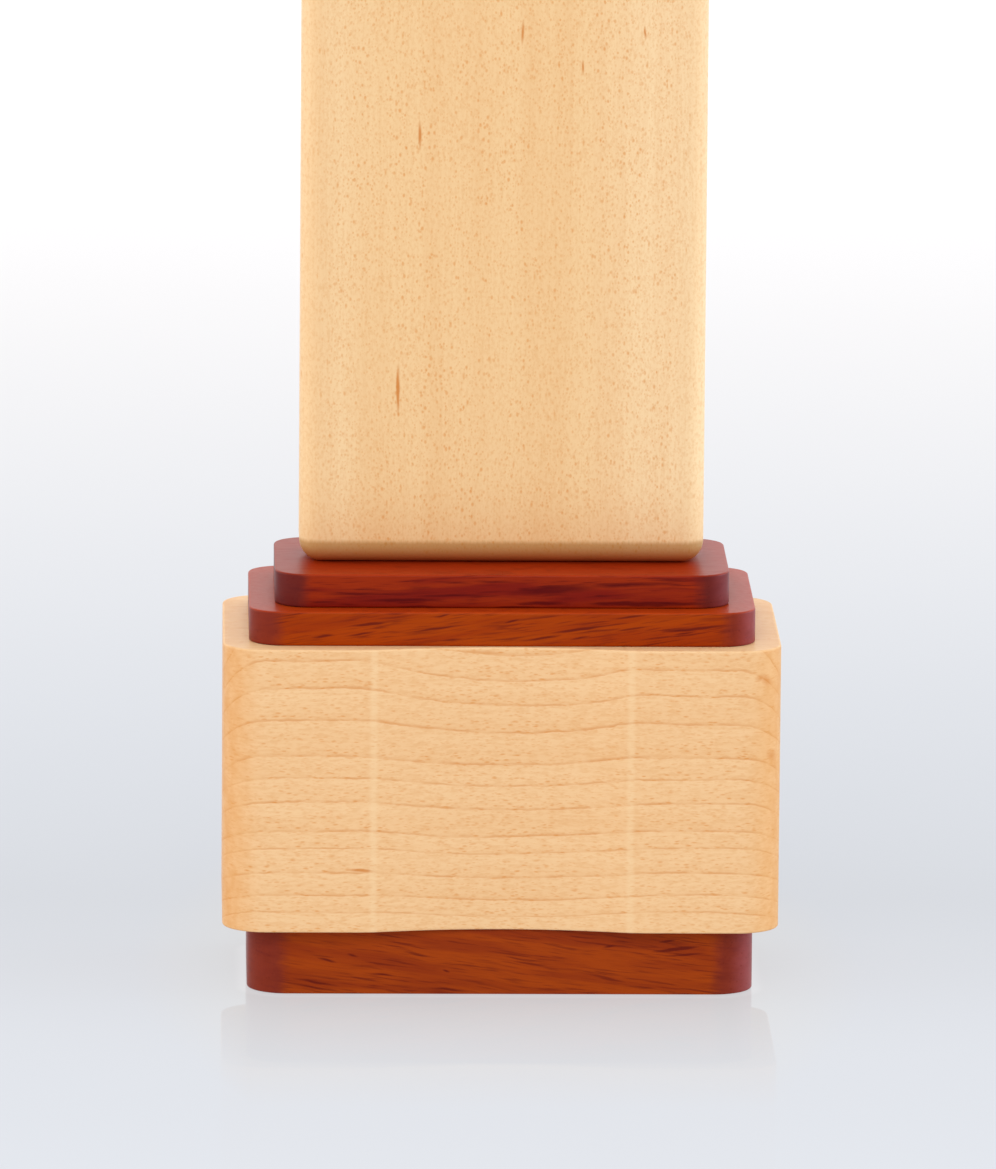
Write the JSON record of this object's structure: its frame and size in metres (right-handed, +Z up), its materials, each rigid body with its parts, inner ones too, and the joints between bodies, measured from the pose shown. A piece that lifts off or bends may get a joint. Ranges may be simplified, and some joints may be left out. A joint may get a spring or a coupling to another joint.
{
  "type": "wooden tablet on a stepped base",
  "caption": "Upright rounded wooden board standing on a base of stacked plates and a block with a hollowed front; the board lifts out for engraving.",
  "frame": {"origin": "centre of the footprint, on the surface that the felt pad rests on", "axes": "+Z up along the tablet, front (the side with the hollow) facing -Y, +X to the right seen from the front"},
  "size_m": [0.076, 0.0406, 0.1789],
  "materials": {
    "tablet_maple": "straight-grained maple, satin lacquer",
    "block_maple": "maple with growth-ring lines across the front, satin lacquer",
    "step_redwood_dark": "dark red hardwood with purple-brown streaks, satin lacquer",
    "step_redwood_bright": "orange-red hardwood with dark streaks, satin lacquer",
    "plinth_redwood": "orange-red hardwood with slanting dark streaks, satin lacquer",
    "peg_beech": "plain beech, unfinished",
    "screw_steel": "zinc-plated steel",
    "felt": "dark wool felt"
  },
  "bodies": {
    "base": {"felt_pad": "felt", "plinth": "plinth_redwood", "plinth_screw_left": "screw_steel", "plinth_screw_right": "screw_steel", "plinth_dowel_left": "peg_beech", "plinth_dowel_right": "peg_beech", "body_block": "block_maple", "step_dowel_left": "peg_beech", "step_dowel_right": "peg_beech", "lower_step": "step_redwood_bright", "upper_step": "step_redwood_dark"},
    "tablet_board": {"tablet": "tablet_maple", "tablet_pin_left": "peg_beech", "tablet_pin_right": "peg_beech"}
  },
  "joints": [
    {"name": "tablet_lift", "type": "slide", "parent": "base", "child": "tablet_board", "axis": [0, 0, 1], "range_m": [0, 0.02]}
  ]
}
